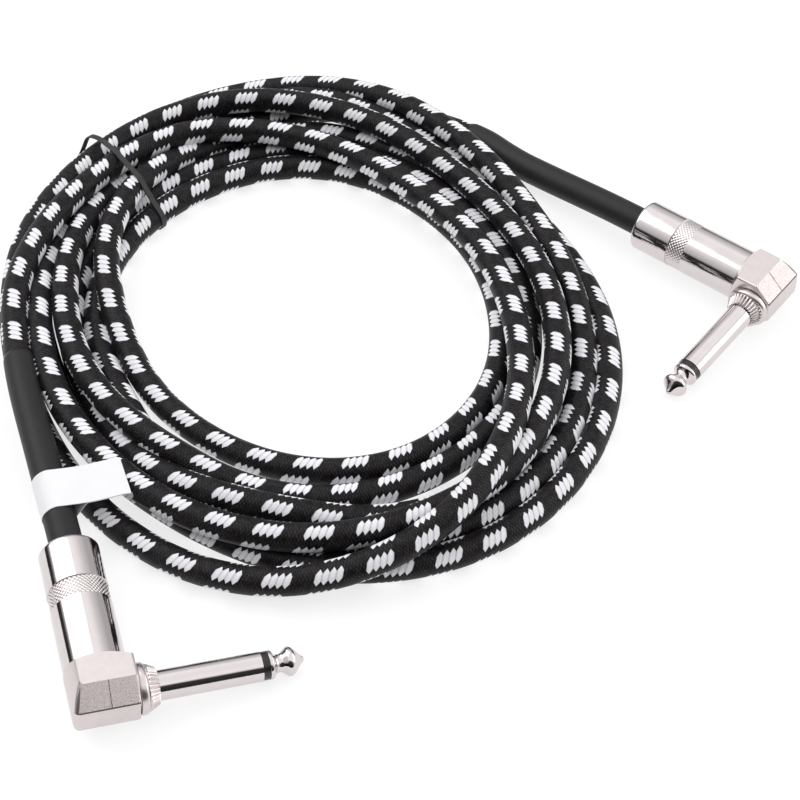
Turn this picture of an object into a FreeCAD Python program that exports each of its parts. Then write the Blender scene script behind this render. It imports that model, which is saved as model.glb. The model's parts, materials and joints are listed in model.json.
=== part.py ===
import FreeCAD, Part
import Sketcher
import math
import os
import re

# Instrument cable: two right-angle quarter-inch plugs on one braided cable that lies in a loose coil.
# Millimetres, +Z up, the cable lies on z = 0. The origin is on that surface, in the middle of the box
# around the two plugs. Each plug has its own axes: x along the shaft towards the tip, y along the
# barrel towards the cable, and its zero is where the two axes cross.

SIZES = [
    ("shaft_d", 6.35, "outside diameter of the quarter-inch shaft"),
    ("shaft_len", 31.0, "collar's front face to the end of the tip"),
    ("ground_len", 21.7, "visible length of the shaft's ground sleeve"),
    ("ring_len", 1.6, "black ring between ground sleeve and tip"),
    ("flange_len", 0.9, "rounded flange at the root of the tip"),
    ("neck_len", 1.5, "from the flange to the neck's narrowest place"),
    ("ball_len", 2.3, "from the neck to the ball's widest place"),
    ("neck_d", 3.9, "narrowest place of the tip"),
    ("ball_d", 6.3, "widest place of the tip"),
    ("rod_d", 2.4, "rod that carries the tip through the shaft"),
    ("wall", 0.75, "wall of the ground sleeve"),
    ("seat_d", 5.8, "ground sleeve where it sits in block and collar"),
    ("seat_from", 3.6, "barrel axis to the ground sleeve's rear end"),
    ("ring_d", 6.0, "diameter of the black ring and of the tip's flange"),
    ("flange_round", 0.3, "rounding of the tip's flange"),
    ("neck_round", 0.7, "rounding of the tip's neck"),
    ("ball_round", 0.9, "rounding of the tip's ball"),
    ("point_len", 0.2, "length of the tip's blunt point"),
    ("point_d", 1.1, "diameter of the tip's blunt point"),
    ("rod_past", 0.8, "how far the tip's rod passes the barrel's axis"),
    ("washer_len", 1.0, "insulating washer behind the ground sleeve"),
    ("tag_len", 0.5, "thickness of the tip's solder tag"),
    ("tag_d", 4.6, "diameter of the tip's solder tag"),
    ("side", 7.2, "barrel axis to the block's face on the shaft side"),
    ("back", 4.4, "barrel axis to the block's back edges"),
    ("back_mid", 6.7, "barrel axis to the middle of the rounded back"),
    ("half_high", 7.15, "half the block's height"),
    ("nose", 5.3, "shaft axis to the block's end face"),
    ("nose_cut", 4.3, "both legs of the slanted faces at the block's end"),
    ("seam", 5.9, "shaft axis to the joint between block and barrel"),
    ("turned_r", 7.0, "radius of the block's turned end at the barrel"),
    ("turned_grow", 3.4, "how much wider the turned end's cone becomes"),
    ("turned_len", 1.9, "length of that cone along the barrel's axis"),
    ("collar_d", 10.8, "diameter of the collar's flange"),
    ("collar_len", 4.2, "length of the collar"),
    ("collar_flange", 1.7, "length of the collar's smooth flange"),
    ("collar_front_d", 7.6, "small end of the collar's serrated cone"),
    ("collar_round", 0.6, "rounding of the collar's flange"),
    ("block_round", 0.6, "rounding of the block's edges"),
    ("nose_round", 1.2, "rounding where the back meets the block's end faces"),
    ("barrel_d", 13.2, "outside diameter of the barrel"),
    ("barrel_end", 37.1, "shaft axis to the barrel's rear rim"),
    ("barrel_gap", 0.1, "gap in front of the barrel, and behind its liner"),
    ("barrel_bore", 11.3, "inside diameter of the barrel"),
    ("rear_wall", 1.4, "thickness of the barrel's rear wall"),
    ("rear_hole", 8.1, "hole that the cable leaves by"),
    ("rim_round", 0.9, "rounding of the rear rim"),
    ("knurl_from", 11.0, "rear rim to the knurled band"),
    ("knurl_len", 4.6, "width of the knurled band"),
    ("knurl_step", 0.12, "how far the knurled band stands in"),
    ("stem_d", 11.2, "threaded stem of the block, over its crests"),
    ("stem_len", 7.4, "length of the threaded stem"),
    ("cavity_d", 8.4, "soldering cavity inside stem and block"),
    ("cavity_deep", 2.9, "how far the cavity passes the shaft axis"),
    ("liner_d", 11.0, "outside diameter of the insulating liner"),
    ("liner_wall", 0.4, "wall of the insulating liner"),
    ("liner_gap", 0.6, "gap between the threaded stem and the liner"),
    ("sleeve_d", 7.3, "heat-shrink sleeve over the cable"),
    ("cable_d", 6.6, "cable over its braid"),
    ("jacket_d", 5.2, "inner jacket under the braid"),
    ("core_d", 2.6, "insulated core"),
    ("wire_d", 0.9, "bare inner conductor"),
    ("cable_start", 26.0, "shaft axis to the cut end of the braid"),
    ("jacket_start", 21.0, "shaft axis to the cut end of the jacket"),
    ("core_start", 6.0, "shaft axis to the cut end of the core"),
    ("exit_run", 42.0, "shaft axis to the end of the cable's straight run"),
    ("clamp_from", 27.0, "shaft axis to the claws that hold the cable"),
    ("clamp_len", 4.0, "width of the claws"),
    ("clamp_wall", 0.4, "sheet thickness of the ground lug"),
    ("lug_width", 1.6, "width of the ground lug's strip"),
    ("lug_start", 8.5, "shaft axis to the ground lug's front end"),
    ("claw_gap", 1.4, "gap between the ends of the closed claws"),
    ("tail_d", 1.0, "twisted shield wires"),
    ("tail_end", 14.2, "shaft axis to the end of the shield wires"),
    ("tail_top", 2.0, "barrel axis down to where the shield wires leave the jacket"),
    ("tail_low", 3.1, "barrel axis down to the end of the shield wires"),
    ("tip_joint", 1.9, "shaft axis to the inner wire's soldered joint"),
    ("tip_joint_d", 2.2, "lump of solder at the tip's rod"),
    ("ground_joint_d", 1.6, "lump of solder on the ground lug"),
    ("snug", 0.05, "gap between pieces that sit snugly on each other"),
    ("plug_height", 8.05, "height of the axes' crossing above the surface"),
    ("origin_x", 34.1, "coil's middle to the origin, along X"),
    ("origin_y", -44.4, "coil's middle to the origin, along Y"),
    ("coil_low", 7.4, "height of the coil where its turns lie side by side"),
    ("coil_high", 13.8, "height of the coil where its turns are heaped"),
    ("heap_inset", 3.5, "how far the heaped layer stands in from the coil's edges"),
    ("coil_round", 2.6, "rounding of the coil's outer edges"),
    ("tie_thick", 0.5, "thickness of the tie's band"),
    ("tie_width", 1.6, "width of the tie's band"),
    ("tie_from", 55.5, "coil's middle to the tie's inner side"),
    ("tie_to", 92.0, "coil's middle to the tie's outer side"),
    ("tie_round", 3.0, "rounding of the tie's corners"),
    ("tie_angle", 136.0, "place of the tie around the coil, in degrees"),
    ("label_len", 10.0, "width of the label along the cable"),
    ("label_out", 21.0, "how far the label's flag reaches from the cable's axis"),
    ("label_thick", 0.3, "thickness of the two-ply label"),
    ("label_at", 52.5, "plug A's shaft axis to the label's middle, along the cable"),
]

# Plug: (position of the axes' crossing from the coil's middle, yaw, droop of the shaft, roll)
PLUGS = {
    "a": ((-37.2, -116.3), 17.8, 7.1, 3.3),
    "b": ((114.6, 5.4), -130.8, 7.1, 180.0),
}

# The stretch of cable between each barrel and the coil, from the coil's middle, chosen by hand
ROUTES = {
    "a": [(-54.5, -63.2, 10.9), (-59.2, -49.5, 11.0), (-64.2, -35.2, 10.7), (-68.2, -21.7, 10.3)],
    "b": [(73.5, 42.2, 6.6), (63.3, 51.8, 5.2), (54.3, 60.5, 4.1), (44.5, 72.3, 3.8)],
}

# Edges of the heaped turns every 30 degrees around the coil's middle, starting at +X
COIL_OUTER = [77.0, 73.5, 87.0, 97.0, 97.0, 83.0, 76.0, 75.5, 83.5, 92.0, 89.5, 84.0]
COIL_INNER = [45.0, 45.0, 48.5, 56.0, 55.5, 52.0, 46.0, 41.5, 43.5, 47.5, 50.5, 49.0]

doc = FreeCAD.newDocument("instrument_cable")
sheet = doc.addObject("Spreadsheet::Sheet", "Sizes")
for row, (alias, size, meaning) in enumerate(SIZES, start=1):
    sheet.set("A%d" % row, alias)
    sheet.set("B%d" % row, str(size))
    sheet.set("C%d" % row, meaning)
    sheet.setAlias("B%d" % row, alias)
doc.recompute()

ALIASES = {alias for alias, size, meaning in SIZES}
pieces = []


def bound(expression):
    """The expression with each size's name pointing at the sheet."""
    return re.sub(r"[a-z_]+", lambda m: "Sizes." + m.group() if m.group() in ALIASES else m.group(),
                  str(expression))


def value(expression):
    """The expression's present value in millimetres."""
    return float(sheet.evalExpression(bound(expression)))


def vector(*expressions):
    return FreeCAD.Vector(*[value(e) for e in expressions])


def from_coil(x, y, z):
    """A point given from the coil's middle, in the part's frame."""
    return FreeCAD.Vector(x - value("origin_x"), y - value("origin_y"), z)


def finished(piece, place=None):
    """Keeps the piece as a node of its own, at the plug's placement where it belongs to one."""
    if place is not None:
        piece.Placement = place
    pieces.append(piece)
    return piece


def origin_plane(body, role):
    return [f for f in body.Origin.OriginFeatures if f.Role == role][0]


def new_body(label):
    body = doc.addObject("PartDesign::Body", label)
    body.Label = label
    return body


def new_sketch(body, role, name):
    sketch = body.newObject("Sketcher::SketchObject", name)
    sketch.AttachmentSupport = [(origin_plane(body, role), "")]
    sketch.MapMode = "FlatFace"
    return sketch


def bind_point(sketch, geometry, end, across, up):
    """Ties one end of a line to its two distances from the sketch's zero."""
    for kind, expression in (("DistanceX", across), ("DistanceY", up)):
        number = sketch.addConstraint(Sketcher.Constraint(kind, -1, 1, geometry, end, value(expression)))
        sketch.setExpression("Constraints[%d]" % number, bound(expression))


def closed_outline(sketch, corners):
    """Straight lines through the corners, each corner tied to the sheet."""
    points = [vector(across, up, 0) for across, up in corners]
    count = len(points)
    for i in range(count):
        sketch.addGeometry(Part.LineSegment(points[i], points[(i + 1) % count]))
    for i in range(count):
        sketch.addConstraint(Sketcher.Constraint("Coincident", i, 2, (i + 1) % count, 1))
        bind_point(sketch, i, 1, *corners[i])


def turned(label, along, corners, place=None, rounds=()):
    """A turned piece. Corners are (distance along the axis, radius); along is x or y of the plug.

    Each round is (distance along, radius of the edge, rounding)."""
    body = new_body(label)
    sketch = new_sketch(body, "XY_Plane", label + "_outline")
    if along == "y":
        closed_outline(sketch, [(radius, distance) for distance, radius in corners])
    else:
        closed_outline(sketch, corners)
    turn = body.newObject("PartDesign::Revolution", label + "_turn")
    turn.Profile = sketch
    turn.ReferenceAxis = (sketch, ["V_Axis" if along == "y" else "H_Axis"])
    turn.Angle = 360
    doc.recompute()
    for number, (distance, radius, rounding) in enumerate(rounds):
        round_edge(body, label + "_round_%d" % number, along, distance, radius, rounding)
    return finished(body, place)


def round_edge(body, name, along, distance, radius, rounding):
    """Rounds the circular edge at that distance and radius."""
    base = body.Tip
    found = []
    for number, edge in enumerate(base.Shape.Edges, start=1):
        curve = edge.Curve
        if isinstance(curve, Part.Circle) and abs(curve.Radius - value(radius)) < 1e-4:
            if abs(getattr(curve.Center, along) - value(distance)) < 1e-4:
                found.append("Edge%d" % number)
    fillet = body.newObject("PartDesign::Fillet", name)
    fillet.Base = (base, found)
    fillet.setExpression("Radius", bound(rounding))
    doc.recompute()


def straight_tube(label, along, start, end, outer, inner, place):
    """A plain tube on the plug's x or y axis; outer and inner are diameters."""
    corners = [(start, "(%s) / 2" % inner), (start, "(%s) / 2" % outer),
               (end, "(%s) / 2" % outer), (end, "(%s) / 2" % inner)]
    return turned(label, along, corners, place)


def straight_rod(label, along, start, end, diameter, place):
    return turned(label, along, [(start, 0), (start, "(%s) / 2" % diameter),
                                 (end, "(%s) / 2" % diameter), (end, 0)], place)


def plug_placement(name):
    (x, y), yaw, droop, roll = PLUGS[name]
    return FreeCAD.Placement(from_coil(x, y, value("plug_height")), FreeCAD.Rotation(yaw, droop, roll))


# ---- metal parts of a plug -------------------------------------------------------------------

def barrel(name, place):
    """Screwed shell: rear wall with the cable hole, rounded rear rim and a knurled band."""
    outer = "barrel_d / 2"
    knurl = "barrel_d / 2 - knurl_step"
    high = "barrel_end - knurl_from"
    low = "barrel_end - knurl_from - knurl_len"
    front = "seam + barrel_gap"
    corners = [(front, "barrel_bore / 2"), (front, outer), (low, outer), (low, knurl),
               (high, knurl), (high, outer), ("barrel_end", outer), ("barrel_end", "rear_hole / 2"),
               ("barrel_end - rear_wall", "rear_hole / 2"), ("barrel_end - rear_wall", "barrel_bore / 2")]
    turned("barrel_" + name, "y", corners, place, [("barrel_end", outer, "rim_round")])


def elbow(name, place):
    """Cast block: rounded back, slanted end faces, turned end, hollow stem and the shaft's seat."""
    label = "elbow_" + name
    body = new_body(label)
    outline = new_sketch(body, "XZ_Plane", label + "_outline")
    top_back = vector("-back", "half_high", 0)
    low_back = vector("-back", "-half_high", 0)
    low_side = vector("side", "-half_high", 0)
    top_side = vector("side", "half_high", 0)
    for start, end in ((low_back, low_side), (low_side, top_side), (top_side, top_back)):
        outline.addGeometry(Part.LineSegment(start, end))
    outline.addGeometry(Part.Arc(top_back, vector("-back_mid", 0, 0), low_back))
    for first, second in ((0, 1), (1, 2)):
        outline.addConstraint(Sketcher.Constraint("Coincident", first, 2, second, 1))
    arc_start, arc_end = (1, 2) if outline.getPoint(3, 1).y > 0 else (2, 1)
    outline.addConstraint(Sketcher.Constraint("Coincident", 2, 2, 3, arc_start))
    outline.addConstraint(Sketcher.Constraint("Coincident", 0, 1, 3, arc_end))
    for line, end, across, up in ((0, 1, "-back", "-half_high"), (1, 1, "side", "-half_high"),
                                  (2, 1, "side", "half_high"), (2, 2, "-back", "half_high")):
        bind_point(outline, line, end, across, up)
    bulge = "(back_mid - back)"
    arc_radius = "(half_high * half_high + %s * %s) / (2 * %s)" % (bulge, bulge, bulge)
    number = outline.addConstraint(Sketcher.Constraint("Radius", 3, value(arc_radius)))
    outline.setExpression("Constraints[%d]" % number, bound(arc_radius))
    block = body.newObject("PartDesign::Pad", label + "_block")
    block.Profile = outline
    block.SideType = "Two sides"
    block.setExpression("Length", bound("nose"))
    block.setExpression("Length2", bound("seam"))
    doc.recompute()
    slant = body.newObject("PartDesign::Chamfer", label + "_slants")
    slant.Base = (block, edges_at(block.Shape, lambda p: abs(p.y + value("nose")) < 1e-4
                                  and abs(abs(p.z) - value("half_high")) < 1e-4))
    slant.setExpression("Size", bound("nose_cut"))
    doc.recompute()
    bend = body.newObject("PartDesign::Fillet", label + "_back_end")
    bend.Base = (slant, edges_at(slant.Shape, lambda p: p.x < -value("back") + 1e-4
                                 and p.y < value("nose_cut - nose") + 1e-4))
    bend.setExpression("Radius", bound("nose_round"))
    doc.recompute()
    soft = body.newObject("PartDesign::Fillet", label + "_soft_edges")
    soft.Base = (bend, edges_at(bend.Shape, lambda p: p.x > value("nose_round - back")
                                and (p.y < value("seam") - 1e-4 or at_side_corner(p))))
    soft.setExpression("Radius", bound("block_round"))
    doc.recompute()
    cone = new_sketch(body, "XY_Plane", label + "_turned_outline")
    closed_outline(cone, [("turned_r", "seam"), ("turned_r + turned_grow", "seam - turned_len"),
                          ("turned_r + turned_grow", "seam + turned_len"),
                          ("turned_r", "seam + turned_len")])
    lathed = body.newObject("PartDesign::Groove", label + "_turned_end")
    lathed.Profile = cone
    lathed.ReferenceAxis = (cone, ["V_Axis"])
    lathed.Angle = 360
    doc.recompute()
    if lathed.Shape.Volume > soft.Shape.Volume - 10:
        raise RuntimeError("the turned end of %s cuts nothing" % label)
    stem = padded_circle(body, "XZ_Plane", label + "_stem", "stem_d / 2", "seam + stem_len", True)
    cavity = new_sketch(body, "XZ_Plane", label + "_cavity_circle")
    circle(cavity, "cavity_d / 2")
    hollow = body.newObject("PartDesign::Pocket", label + "_cavity")
    hollow.Profile = cavity
    hollow.SideType = "Two sides"
    hollow.setExpression("Length", bound("seam + stem_len + 1"))
    hollow.setExpression("Length2", bound("cavity_deep"))
    doc.recompute()
    if hollow.Shape.Volume > stem.Shape.Volume - 100:
        raise RuntimeError("the cavity of %s cuts nothing" % label)
    seat = new_sketch(body, "YZ_Plane", label + "_seat_circle")
    circle(seat, "seat_d / 2")
    seat_cut = body.newObject("PartDesign::Pocket", label + "_seat")
    seat_cut.Profile = seat
    seat_cut.setExpression("Length", bound("side + 1"))
    seat_cut.Reversed = True
    doc.recompute()
    if seat_cut.Shape.Volume > hollow.Shape.Volume - 10:
        raise RuntimeError("the shaft's seat in %s cuts nothing" % label)
    finished(body, place)


def at_side_corner(point):
    """Whether the point lies on the block's long edges on the shaft side."""
    return (abs(point.x - value("side")) < 1e-4
            and abs(abs(point.z) - value("half_high")) < 1e-4)


def edges_at(shape, test):
    """Names of the edges whose two ends and middle all pass the test."""
    names = []
    for number, edge in enumerate(shape.Edges, start=1):
        middle = edge.valueAt((edge.FirstParameter + edge.LastParameter) / 2)
        ends = [vertex.Point for vertex in edge.Vertexes]
        if len(ends) == 2 and all(test(point) for point in ends + [middle]):
            names.append("Edge%d" % number)
    return names


def circle(sketch, radius):
    sketch.addGeometry(Part.Circle(FreeCAD.Vector(0, 0, 0), FreeCAD.Vector(0, 0, 1), value(radius)))
    sketch.addConstraint(Sketcher.Constraint("Coincident", 0, 3, -1, 1))
    number = sketch.addConstraint(Sketcher.Constraint("Radius", 0, value(radius)))
    sketch.setExpression("Constraints[%d]" % number, bound(radius))


def padded_circle(body, role, name, radius, length, reverse):
    sketch = new_sketch(body, role, name + "_circle")
    circle(sketch, radius)
    pad = body.newObject("PartDesign::Pad", name)
    pad.Profile = sketch
    pad.setExpression("Length", bound(length))
    pad.Reversed = reverse
    doc.recompute()
    return pad


def shaft_parts(name, place):
    """Everything on the shaft's axis: collar, ground sleeve, ring, tip, its rod and insulators."""
    front = "side + collar_len"
    ground_end = front + " + ground_len"
    ring_end = ground_end + " + ring_len"
    hollow = "shaft_d - 2 * wall"
    turned("collar_" + name, "x",
           [("side", "seat_d / 2"), ("side", "collar_d / 2"), ("side + collar_flange", "collar_d / 2"),
            (front, "collar_front_d / 2"), (front, "seat_d / 2")], place,
           [("side + collar_flange", "collar_d / 2", "collar_round")])
    bore = "(%s) / 2" % hollow
    turned("ground_sleeve_" + name, "x",
           [("seat_from", bore), ("seat_from", "seat_d / 2"), (front, "seat_d / 2"),
            (front, "shaft_d / 2"), (ground_end, "shaft_d / 2"), (ground_end, bore)], place)
    straight_tube("tip_ring_" + name, "x", ground_end, ring_end, "ring_d", "rod_d", place)
    flange = ring_end + " + flange_len"
    neck = flange + " + neck_len"
    ball = neck + " + ball_len"
    end = front + " + shaft_len"
    turned("tip_" + name, "x",
           [(ring_end, 0), (ring_end, "ring_d / 2"), (flange, "ring_d / 2"), (neck, "neck_d / 2"),
            (ball, "ball_d / 2"), (end + " - point_len", "point_d / 2"), (end, "point_d / 4"), (end, 0)],
           place, [(ball, "ball_d / 2", "ball_round"), (flange, "ring_d / 2", "flange_round"),
                   (neck, "neck_d / 2", "neck_round")])
    washer = "seat_from - washer_len"
    straight_rod("tip_rod_" + name, "x", "-rod_past", ring_end, "rod_d", place)
    straight_tube("rod_insulator_" + name, "x", "seat_from", ground_end, hollow, "rod_d", place)
    straight_tube("rear_washer_" + name, "x", washer, "seat_from", "seat_d", "rod_d", place)
    straight_tube("tip_lug_" + name, "x", washer + " - tag_len", washer, "tag_d", "rod_d", place)


def cable_end(name, place):
    """The stripped cable end, its two soldered joints and the lug that grips the cable."""
    straight_rod("inner_jacket_" + name, "y", "jacket_start", "cable_start", "jacket_d", place)
    straight_rod("cable_core_" + name, "y", "core_start", "jacket_start", "core_d", place)
    straight_rod("centre_wire_" + name, "y", "rod_d / 2", "core_start", "wire_d", place)
    straight_tube("barrel_liner_" + name, "y", "seam + stem_len + liner_gap",
                  "barrel_end - rear_wall - barrel_gap", "liner_d", "liner_d - 2 * liner_wall", place)
    ground_lug(name, place)
    shield_tail(name, place)
    blob("tip_solder_" + name, "tip_joint_d / 2", (0, "tip_joint", 0), place)
    blob("ground_solder_" + name, "ground_joint_d / 2", (0, "tail_end", "-tail_low - 4 * snug"), place)


def ground_lug(name, place):
    """Sheet-metal strip that lies in the stem and ends in claws closed round the cable."""
    label = "ground_lug_" + name
    claws = doc.addObject("Part::Cylinder", label + "_claws")
    claws.setExpression("Radius", bound("sleeve_d / 2 + clamp_wall"))
    claws.setExpression("Height", bound("clamp_len"))
    hole = doc.addObject("Part::Cylinder", label + "_hole")
    hole.setExpression("Radius", bound("sleeve_d / 2"))
    hole.setExpression("Height", bound("2 * clamp_len"))
    slot = doc.addObject("Part::Box", label + "_slot")
    slot.setExpression("Length", bound("claw_gap"))
    slot.setExpression("Height", bound("sleeve_d"))
    slot.setExpression("Width", bound("2 * clamp_len"))
    along_y = FreeCAD.Rotation(FreeCAD.Vector(1, 0, 0), -90)
    claws.Placement = FreeCAD.Placement(vector(0, "clamp_from", 0), along_y)
    hole.Placement = FreeCAD.Placement(vector(0, "clamp_from - clamp_len / 2", 0), along_y)
    slot.Placement.Base = vector("-claw_gap / 2", "clamp_from - clamp_len / 2", 0)
    strip = doc.addObject("Part::Box", label + "_strip")
    strip.setExpression("Length", bound("lug_width"))
    strip.setExpression("Width", bound("clamp_from + clamp_len - lug_start"))
    strip.setExpression("Height", bound("clamp_wall"))
    strip.Placement.Base = vector("-lug_width / 2", "lug_start", "-sleeve_d / 2 - clamp_wall - snug")
    outer = doc.addObject("Part::MultiFuse", label + "_outer")
    outer.Shapes = [claws, strip]
    cutter = doc.addObject("Part::MultiFuse", label + "_cutter")
    cutter.Shapes = [hole, slot]
    lug = doc.addObject("Part::Cut", label)
    lug.Label = label
    lug.Base = outer
    lug.Tool = cutter
    doc.recompute()
    finished(lug, place)


def shield_tail(name, place):
    """Twisted shield wire from the jacket's end down to the ground lug."""
    tail = doc.addObject("Part::Cylinder", "shield_tail_" + name)
    tail.Label = "shield_tail_" + name
    top = vector(0, "jacket_start - 2 * snug", "-tail_top")
    low = vector(0, "tail_end", "-tail_low")
    tail.setExpression("Radius", bound("tail_d / 2"))
    tail.Height = (low - top).Length
    turn = FreeCAD.Rotation(FreeCAD.Vector(0, 0, 1), low - top)
    tail.Placement = place.multiply(FreeCAD.Placement(top, turn))
    finished(tail)


def blob(label, radius, centre, place):
    """A rounded lump of solder."""
    ball = doc.addObject("Part::Sphere", label)
    ball.Label = label
    ball.setExpression("Radius", bound(radius))
    ball.Placement = place.multiply(FreeCAD.Placement(vector(*centre), FreeCAD.Rotation()))
    finished(ball)


# ---- the cable -------------------------------------------------------------------------------

def smooth_path(points, name):
    """Straight runs joined by tangent arcs; each arc is as large as its two runs allow."""
    edges = []
    radii = []
    start = points[0]
    for before, corner, after in zip(points, points[1:], points[2:]):
        back = (before - corner)
        ahead = (after - corner)
        reach = 0.45 * min(back.Length, ahead.Length)
        back.normalize()
        ahead.normalize()
        half_turn = (math.pi - back.getAngle(ahead)) / 2
        radius = reach / math.tan(half_turn)
        radii.append(radius)
        middle = (back + ahead)
        middle.normalize()
        mid_point = corner + middle * (radius / math.cos(half_turn) - radius)
        arc_start = corner + back * reach
        arc_end = corner + ahead * reach
        edges.append(Part.LineSegment(start, arc_start).toShape())
        edges.append(Part.Arc(arc_start, mid_point, arc_end).toShape())
        start = arc_end
    edges.append(Part.LineSegment(start, points[-1]).toShape())
    print("bend radii of %s:" % name, ", ".join("%.0f" % radius for radius in radii))
    return Part.Wire(edges)


def swept(path, points, diameter):
    section = Part.Wire(Part.Circle(points[0], points[1] - points[0], diameter / 2).toShape())
    return path.makePipeShell([section], True, False)


def lead(name, place):
    """The cable between barrel and coil, and the heat-shrink sleeve over it."""
    points = [place.multVec(vector(0, "cable_start", 0)), place.multVec(vector(0, "exit_run", 0))]
    points += [from_coil(*point) for point in ROUTES[name]]
    path = smooth_path(points, "lead " + name)
    core = swept(path, points, value("cable_d"))
    sleeve = swept(path, points, value("sleeve_d")).cut(core)
    section = math.pi * value("cable_d") ** 2 / 4
    print("lead %s: %.1f mm, volume / (section x length) = %.3f"
          % (name, path.Length, core.Volume / (section * path.Length)))
    for label, shape in (("cable_lead_" + name, core), ("lead_sleeve_" + name, sleeve)):
        piece = doc.addObject("Part::Feature", label)
        piece.Label = label
        piece.Shape = shape
        finished(piece)
    return points


def ring_outline(radii, inset, height):
    """Closed smooth curve through the radii, which are equally spaced around the coil's middle."""
    points = []
    for number, radius in enumerate(radii):
        angle = math.radians(360.0 * number / len(radii))
        reach = radius + inset
        points.append(from_coil(reach * math.cos(angle), reach * math.sin(angle), height))
    curve = Part.BSplineCurve()
    curve.interpolate(points, PeriodicFlag=True)
    return Part.Wire(curve.toShape())


def heap(outer_inset, inner_inset, low, high):
    """The ring between the coil's outer and inner edge from one height to another."""
    outer = Part.Face(ring_outline(COIL_OUTER, outer_inset, low))
    inner = Part.Face(ring_outline(COIL_INNER, inner_inset, low))
    up = FreeCAD.Vector(0, 0, high - low)
    return outer.extrude(up).cut(inner.extrude(up))


def coil(band):
    """Outer shape of the coil: a wide layer on the surface and a narrower one where turns cross."""
    wide = heap(0, 0, 0, value("coil_low"))
    inset = value("heap_inset")
    top = value("coil_high")
    narrow = heap(-inset, inset, value("coil_low"), top)
    shape = wide.fuse(narrow).removeSplitter()
    rims = [edge for edge in shape.Edges if abs(edge.BoundBox.ZMin - top) < 1e-3]
    shape = shape.makeFillet(value("coil_round"), rims)
    piece = doc.addObject("Part::Feature", "cable_coil")
    piece.Label = "cable_coil"
    piece.Shape = shape.cut(band)
    finished(piece)


# ---- tie and label ---------------------------------------------------------------------------

def tie_band(inset, width):
    """A flat rounded band standing across the coil; inset shrinks its outside."""
    thick = value("tie_thick")
    low = FreeCAD.Vector(value("tie_from") + inset, -width / 2, inset)
    long = value("tie_to") - value("tie_from") - 2 * inset
    high = value("coil_high") + 2 * thick - 2 * inset
    block = Part.makeBox(long, width, high, low)
    corners = [edge for edge in block.Edges if abs(edge.BoundBox.YLength - width) < 1e-6]
    return block.makeFillet(value("tie_round") - inset, corners)


def tie():
    """The thin tie that holds the turns together at the coil's far side."""
    width = value("tie_width")
    thick = value("tie_thick")
    shape = tie_band(0, width).cut(tie_band(thick, 2 * width))
    turn = FreeCAD.Placement(from_coil(0, 0, 0), FreeCAD.Rotation(value("tie_angle"), 0, 0))
    piece = doc.addObject("Part::Feature", "cable_tie")
    piece.Label = "cable_tie"
    piece.Shape = shape
    piece.Placement = turn
    finished(piece)
    snug = value("snug")
    groove = tie_band(-2 * thick, width + 4 * snug).cut(tie_band(thick + snug, 2 * width))
    groove.Placement = turn
    return groove


def label(points):
    """A blank flag label: wrapped round the sleeve, its flag leaves level with the sleeve's top."""
    along = points[2] - points[1]
    along.normalize()
    middle = points[1] + along * (value("label_at") - value("exit_run"))
    start = middle - along * (value("label_len") / 2)
    outer = value("sleeve_d / 2 + snug + label_thick")
    wrap = Part.makeCylinder(outer, value("label_len"), start, along)
    wrap = wrap.cut(Part.makeCylinder(outer - value("label_thick"), value("label_len"), start, along))
    flag = Part.makeBox(value("label_len"), value("label_out"), value("label_thick"))
    across = along.cross(FreeCAD.Vector(0, 0, 1))
    across.normalize()
    face = FreeCAD.Rotation(along, across, across.cross(along) * -1, "XYZ")
    corner = start + across * value("label_thick / 2") + FreeCAD.Vector(0, 0, outer)
    flag.Placement = FreeCAD.Placement(corner, face)
    piece = doc.addObject("Part::Feature", "cable_label")
    piece.Label = "cable_label"
    piece.Shape = wrap.fuse(flag)
    finished(piece)


for plug in sorted(PLUGS):
    at = plug_placement(plug)
    barrel(plug, at)
    elbow(plug, at)
    shaft_parts(plug, at)
    cable_end(plug, at)
    route = lead(plug, at)
    if plug == "a":
        label(route)
coil(tie())
doc.recompute()

for thing in doc.Objects:
    if "Invalid" in thing.State or "Error" in thing.State:
        raise RuntimeError("%s failed: %s" % (thing.Name, thing.State))
os.makedirs("parts", exist_ok=True)
for piece in pieces:
    if piece.Shape.isNull() or not piece.Shape.isValid():
        raise RuntimeError("%s has no valid shape" % piece.Label)
for piece in pieces:
    piece.Shape.exportStep("parts/%s.step" % piece.Label)
print("%d pieces written" % len(pieces))
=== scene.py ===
import json
import math

import bpy
import numpy as np
from mathutils import Matrix, Vector


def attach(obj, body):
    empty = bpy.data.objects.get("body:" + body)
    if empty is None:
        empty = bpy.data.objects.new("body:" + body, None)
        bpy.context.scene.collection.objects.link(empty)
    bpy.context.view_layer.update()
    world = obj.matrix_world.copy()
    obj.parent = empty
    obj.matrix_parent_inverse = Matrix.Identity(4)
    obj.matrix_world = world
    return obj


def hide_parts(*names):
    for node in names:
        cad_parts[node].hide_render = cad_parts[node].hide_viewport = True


# An instrument cable in a loose coil: a braided cable with a right-angle jack plug at each end.
# Sizes in this file are millimetres unless a name says otherwise; MM turns them into metres.
MM = 0.001

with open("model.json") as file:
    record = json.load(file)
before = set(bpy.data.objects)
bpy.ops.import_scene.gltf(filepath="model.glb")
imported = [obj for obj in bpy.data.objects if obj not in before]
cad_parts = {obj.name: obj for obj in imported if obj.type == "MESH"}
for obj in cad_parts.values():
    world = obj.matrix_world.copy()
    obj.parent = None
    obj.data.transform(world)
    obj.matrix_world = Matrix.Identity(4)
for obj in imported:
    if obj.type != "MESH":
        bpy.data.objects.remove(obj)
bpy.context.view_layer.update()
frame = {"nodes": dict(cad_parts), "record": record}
record = frame["record"]
nodes = frame["nodes"]

# ---- driving sizes ---------------------------------------------------------------------------

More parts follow.
